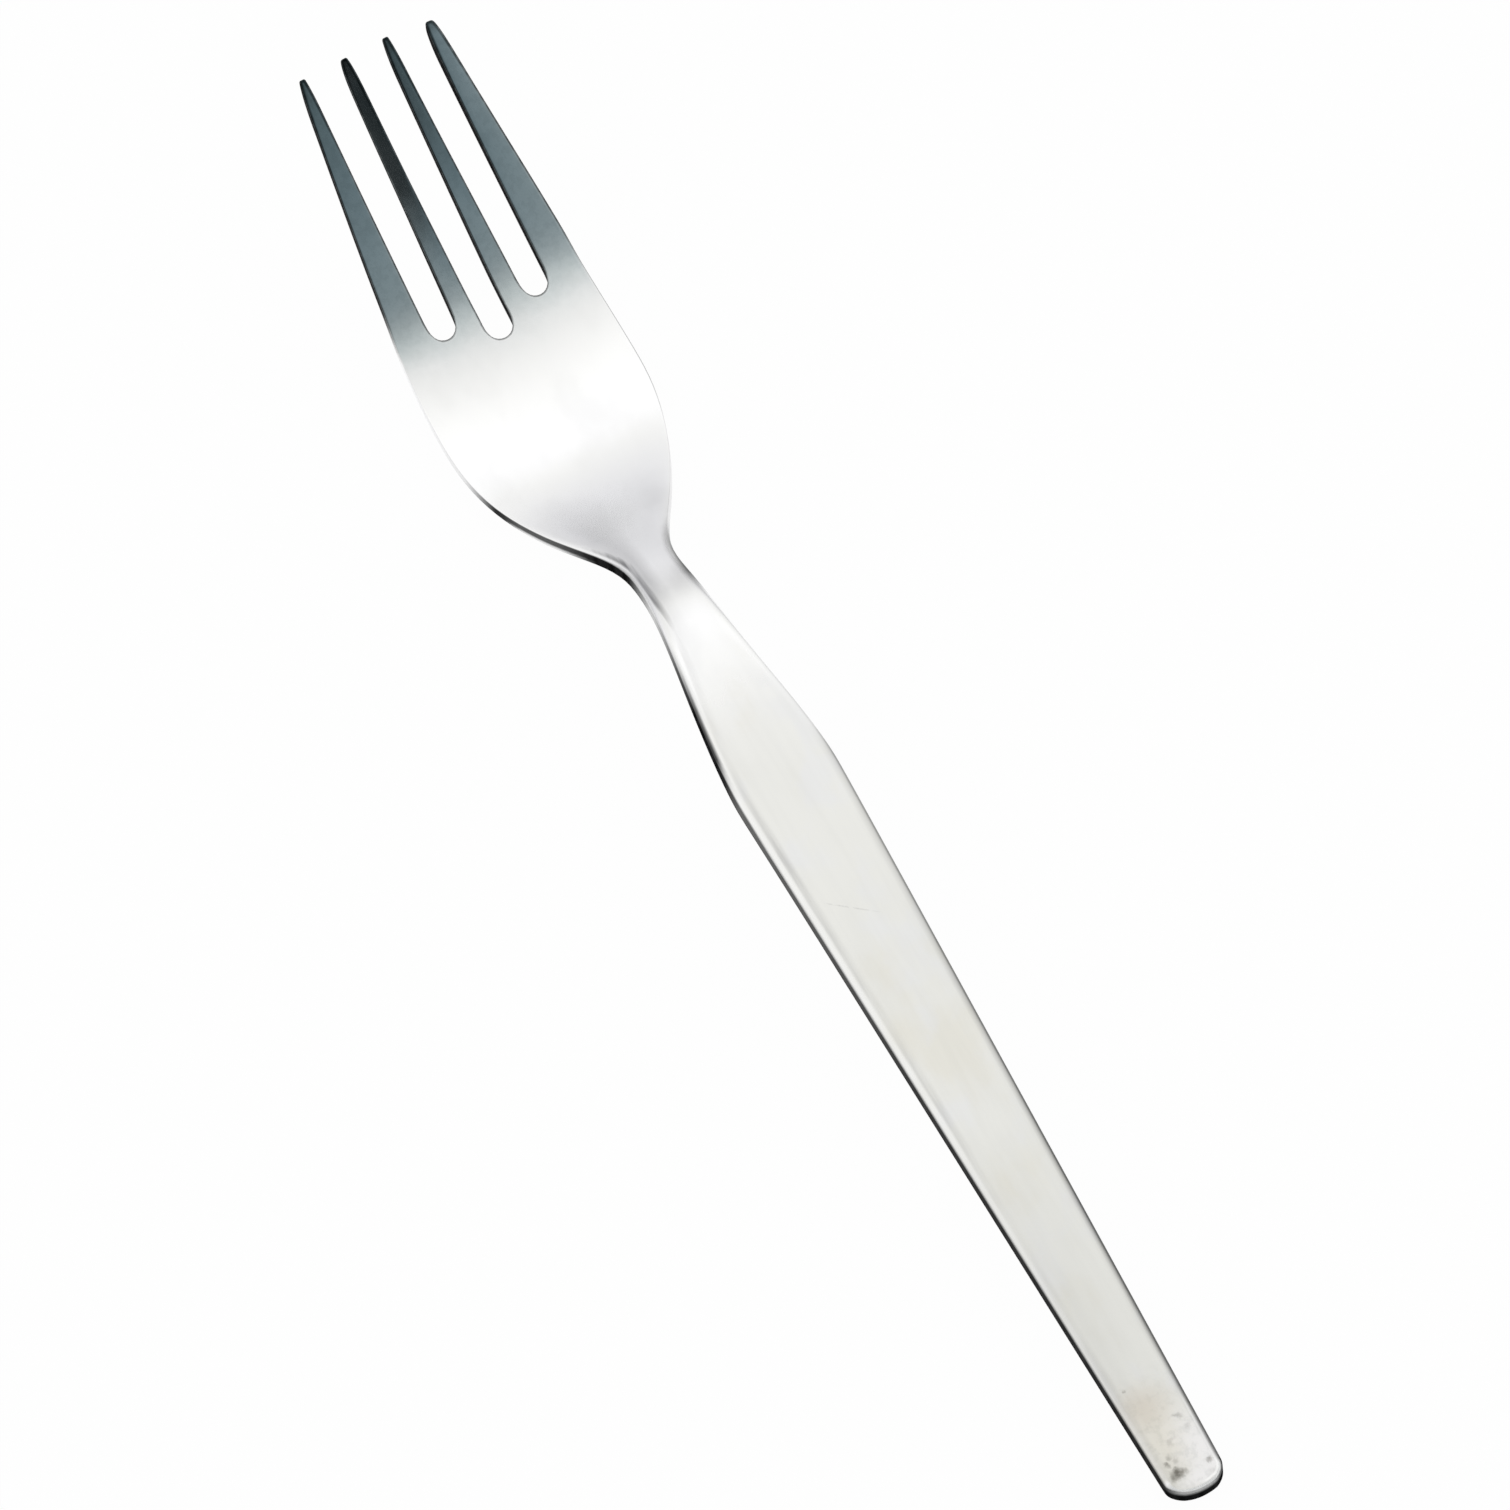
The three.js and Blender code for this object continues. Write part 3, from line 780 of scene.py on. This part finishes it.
# The sheared edge is dull and painted dark as shade and dark reflection, under a rounded, polished rim
# painted bright as a highlight.
tone = blend(rubbed, tone, RIM_HIGHLIGHT_TONE)
# A painted highlight line just inside the right edge near the handle end.
highlight_line = times(ramp(inset, 0.00020, 0.00032), ramp(inset, 0.00054, 0.0004))
highlight_line = times(highlight_line, ramp(x_at, -0.0795, -0.0825), ramp(y_at, 0, -0.001, 0, 0.7))
tone = blend(highlight_line, tone, RIM_HIGHLIGHT_TONE)
# Painted lines of shade just inside the edges, and a broad painted shade on the left of the neck.
strokes = noise(stretched((160, 2400, 1), -0.06), scale=1, detail=2)
painted_shade = times(shade_line, ramp(past_shade_line, -0.0003, 0), ramp(past_shade_line, 0.0009, 0))
painted_shade = times(painted_shade, ramp(strokes, 0.36, 0.62, 0.85, 1.3))
painted_shade = times(sums("MAXIMUM", painted_shade, shade), ramp(clouds, 0.3, 0.65, 0.8, 1.0))
tone = blend(painted_shade, tone, SHADE_AND_SCRATCH_TONE)
# A painted dark line of shade along the slot and tine edges.
inward = sums("DIVIDE", inset, ramp(x_at, 0.082, 0.0895, 1.0, 1.8))
outline = times(ramp(inward, 0.00024, 0.0001), ramp(scuffs, 0.35, 0.6, 0.8, 1.0), outlined)
tone = blend(outline, tone, EDGE_LINE_SHADE_TONE)
streaks = noise(stretched((900, 900, 60)), scale=1, detail=2)
edge_shade_tone = blend(ramp(streaks, 0.35, 0.7), SHEARED_SHADE_TONE, SHEARED_SHADE_STREAK)
worn_end = times(ramp(x_at, -0.0872, -0.0888), ramp(rise, 0.48, 1.2))
worn_end = times(worn_end, ramp(y_at, 0.0034, 0.0020), ramp(y_at, -0.0032, -0.0010))
sheared_and_shaded = times(sheared_and_shaded, sums("SUBTRACT", 1.0, worn_end))
tone = blend(sheared_and_shaded, tone, edge_shade_tone)

rough = plus(ramp(head, 0, 1, HANDLE_ROUGH, HEAD_ROUGH), ramp(patches, 0.35, 0.7, *PATCH_ROUGH))
rough = plus(rough, ramp(x_at, 0.062, 0.072, 0, TINE_ROUGH))
rough = plus(rough, times(ramp(lines, 0.3, 0.7, *LINE_ROUGH), drawn))
rough = plus(rough, times(specks, SPECK_ROUGH), times(sheared_and_shaded, SHEARED_ROUGH))
rough = plus(rough, times(rubbed, ramp(x_at, -0.088, -0.089, 0, END_ROUGH)))
waves = noise(stretched((1, 1.5, 1)), scale=260, detail=2)
height = plus(times(lines, LINE_HEIGHT, drawn), times(waves, WAVE_HEIGHT))
bump = add("Bump")
bump.inputs["Strength"].default_value = BUMP_STRENGTH
bump.inputs["Distance"].default_value = BUMP_HEIGHT
links.new(height, bump.inputs["Height"])
shader = add("BsdfPrincipled")
shader.inputs["Specular IOR Level"].default_value = 0
# Where the edge is painted dark it is also made less metallic, so the painted shade reflects little.
links.new(ramp(sheared_and_shaded, 0.25, 1, 1, 0), shader.inputs["Metallic"])
links.new(tone, shader.inputs["Base Color"])
links.new(rough, shader.inputs["Roughness"])
links.new(bump.outputs[0], shader.inputs["Normal"])
links.new(shader.outputs[0], add("OutputMaterial").inputs["Surface"])
fork.data.materials.append(steel)
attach(fork, "root")
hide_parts("handle", "neck", "bowl", "tine_1", "tine_2", "tine_3", "tine_4")

# Floor: a plain white studio table that the fork lies on, with a soft shadow.
# The camera and the polished steel see it as white paper.
FLOOR_SIZE = 8
MATT_WHITE = (0.92, 0.92, 0.92, 1)
PAPER_WHITE = (1, 1, 1, 1)
PAPER_SHARE = 0.97
bpy.ops.object.select_all(action="DESELECT")
bpy.ops.mesh.primitive_plane_add(size=FLOOR_SIZE)
floor = bpy.context.object
floor.name = "floor"
paper = bpy.data.materials.new("white_paper")
paper.use_nodes = True
nodes, links = paper.node_tree.nodes, paper.node_tree.links
nodes.clear()
ray = add("LightPath")
seen = sums("MAXIMUM", ray.outputs["Is Camera Ray"], ray.outputs["Is Glossy Ray"])
seen = sums("MAXIMUM", seen, ray.outputs["Is Transmission Ray"])
matt = add("BsdfDiffuse", MATT_WHITE)
white = add("Emission", PAPER_WHITE, 1.0)
shown = add("MixShader", times(seen, PAPER_SHARE), matt.outputs[0], white.outputs[0])
links.new(shown.outputs[0], add("OutputMaterial").inputs["Surface"])
floor.data.materials.append(paper)

# Light: a soft white studio all round, dimmer at the horizon and to the sides.
# A dark hood stands above the handle end, beside the camera, and the rising tines
# reflect it. It is darkest on the camera's side.
HOOD = Vector((-0.657, -0.095, 0.748)).normalized()
STUDIO_TONES = (
    (0, (0.045, 0.08, 0.09)), (7, (0.075, 0.11, 0.12)), (11, (0.12, 0.17, 0.19)), (13, (0.19, 0.25, 0.27)),
    (16, (0.3, 0.35, 0.36)), (23, (0.5, 0.56, 0.56)), (28, (0.69, 0.73, 0.72)), (33, (0.83, 0.84, 0.83)),
    (40, (0.94, 0.94, 0.92)), (57, (1.1, 1.1, 1.08)), (65, (1.13, 1.13, 1.13)), (72, (1.12, 1.12, 1.12)),
    (85, (0.99, 0.99, 0.97)), (110, (0.85, 0.85, 0.87)), (180, (0.8, 0.8, 0.81)))
BRIGHT_MIDDLE = -0.16
HORIZON_GLOW = 0.65
SIDE_GLOW = 0.7
CAMERA_SIDE_DARK = 0.9
world = bpy.data.worlds.new("studio")
bpy.context.scene.world = world
world.use_nodes = True
nodes, links = world.node_tree.nodes, world.node_tree.links
nodes.clear()
way = add("TexCoord").outputs["Generated"]
end_way, side_way, level_way = add("SeparateXYZ", way).outputs
towards_hood = add("VectorMath", way, HOOD, operation="DOT_PRODUCT").outputs["Value"]
from_hood = sums("DEGREES", sums("ARCCOSINE", towards_hood))
around = add("ValToRGB", sums("DIVIDE", from_hood, 180.0))
stops = around.color_ramp.elements
while len(stops) < len(STUDIO_TONES):
    stops.new(0.5)
for stop, (angle, colour) in zip(stops, STUDIO_TONES):
    stop.position = angle / 180
    stop.color = (*colour, 1)
aside = ramp(sums("ABSOLUTE", sums("SUBTRACT", side_way, BRIGHT_MIDDLE)), 0.3, 0.7)
aside = times(aside, ramp(end_way, 0.3, -0.1))
dimmed = times(ramp(level_way, -0.02, 0.36, HORIZON_GLOW, 1.0), ramp(aside, 0, 1, 1.0, SIDE_GLOW))
glow = blend(1.0, around.outputs[0], add("CombineXYZ", dimmed, dimmed, dimmed).outputs[0], "MULTIPLY")
camera_side = times(ramp(side_way, -0.13, 0.05, 0, CAMERA_SIDE_DARK), ramp(from_hood, 23, 15))
glow = blend(camera_side, glow, (0, 0, 0, 1))
links.new(add("Background", glow, 1.0).outputs[0], add("OutputWorld").inputs["Surface"])

# Camera: a long lens above the handle end, turned so that the fork runs corner to corner.
# The frame is 1510 pixels square, and the fork sits a few pixels off its middle.
SIDE_TURN = math.radians(19.33)
LOOK_DOWN = math.radians(61.1)
ROLL = math.radians(-9.5)
DISTANCE = 0.9
SENSOR_WIDTH = 36
FRAME_PIXELS = 1510
PIXELS_PER_METRE = 9798
SHIFT_RIGHT_PIXELS = -16.3
SHIFT_UP_PIXELS = 14.9
target = Vector((0.00025, 0, 0.005))
to_camera = Vector((
    -math.cos(SIDE_TURN) * math.cos(LOOK_DOWN),
    math.sin(SIDE_TURN) * math.cos(LOOK_DOWN),
    math.sin(LOOK_DOWN)))
level = (-to_camera).cross(Vector((0, 0, 1))).normalized()
upright = level.cross(-to_camera)
right = math.cos(ROLL) * level + math.sin(ROLL) * upright
up = -math.sin(ROLL) * level + math.cos(ROLL) * upright
lens = bpy.data.cameras.new("camera")
lens.sensor_width = SENSOR_WIDTH
lens.lens = SENSOR_WIDTH * PIXELS_PER_METRE * DISTANCE / FRAME_PIXELS
lens.shift_x = SHIFT_RIGHT_PIXELS / FRAME_PIXELS
lens.shift_y = SHIFT_UP_PIXELS / FRAME_PIXELS
camera = bpy.data.objects.new("camera", lens)
bpy.context.collection.objects.link(camera)
turn = Matrix((right, up, to_camera)).transposed().to_4x4()
camera.matrix_world = Matrix.Translation(target + DISTANCE * to_camera) @ turn
bpy.context.scene.camera = camera

bpy.context.scene.view_settings.view_transform = "Standard"
